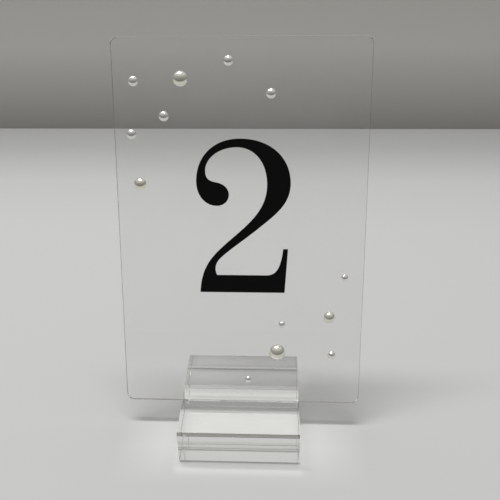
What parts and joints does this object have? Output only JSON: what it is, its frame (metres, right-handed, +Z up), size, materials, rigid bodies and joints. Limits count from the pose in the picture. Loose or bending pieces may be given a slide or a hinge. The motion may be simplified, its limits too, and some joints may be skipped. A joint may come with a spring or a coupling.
{
  "type": "table number holder",
  "caption": "Clear acrylic table number sign with a vinyl numeral and flat-back pearls, leaning back in a slanted slot across a clear acrylic block.",
  "frame": {"origin": "centre of the block's flat bottom face, on the surface it rests on", "axes": "+Z up; the sign's face and numeral look towards -Y and the sign leans back towards +Y; +X to the viewer's right"},
  "size_m": [0.1016, 0.0762, 0.155],
  "materials": {
    "clear_acrylic_block": "clear cast acrylic, polished faces and chamfers, saw-cut slot",
    "clear_acrylic_sheet": "clear cast acrylic sheet, laser-cut edge",
    "black_vinyl": "self-adhesive cut vinyl, satin",
    "pearl_silver_white": "pearl-coated plastic, silvery lustre",
    "pearl_cream_white": "pearl-coated plastic, warm cream lustre",
    "clear_glue": "dried clear gem glue"
  },
  "bodies": {
    "base": {"base_block_front": "clear_acrylic_block", "base_block_rear": "clear_acrylic_block"},
    "sign": {"sign_panel": "clear_acrylic_sheet", "numeral_two": "black_vinyl", "pearl_upper_1": "pearl_silver_white", "pearl_upper_2": "pearl_cream_white", "pearl_upper_3": "pearl_silver_white", "pearl_upper_4": "pearl_silver_white", "pearl_upper_5": "pearl_silver_white", "pearl_upper_6": "pearl_silver_white", "pearl_upper_7": "pearl_cream_white", "pearl_lower_1": "pearl_silver_white", "pearl_lower_2": "pearl_cream_white", "pearl_lower_3": "pearl_silver_white", "pearl_lower_4": "pearl_cream_white", "pearl_lower_5": "pearl_silver_white", "pearl_lower_6": "pearl_silver_white", "glue_dot_upper_1": "clear_glue", "glue_dot_upper_2": "clear_glue", "glue_dot_upper_3": "clear_glue", "glue_dot_upper_4": "clear_glue", "glue_dot_upper_5": "clear_glue", "glue_dot_upper_6": "clear_glue", "glue_dot_upper_7": "clear_glue", "glue_dot_lower_1": "clear_glue", "glue_dot_lower_2": "clear_glue", "glue_dot_lower_3": "clear_glue", "glue_dot_lower_4": "clear_glue", "glue_dot_lower_5": "clear_glue", "glue_dot_lower_6": "clear_glue"}
  },
  "joints": [
    {"name": "sign_slide", "type": "slide", "parent": "base", "child": "sign", "axis": [0, 0.3338, 0.9426], "range_m": [-0.003, 0.025]}
  ]
}
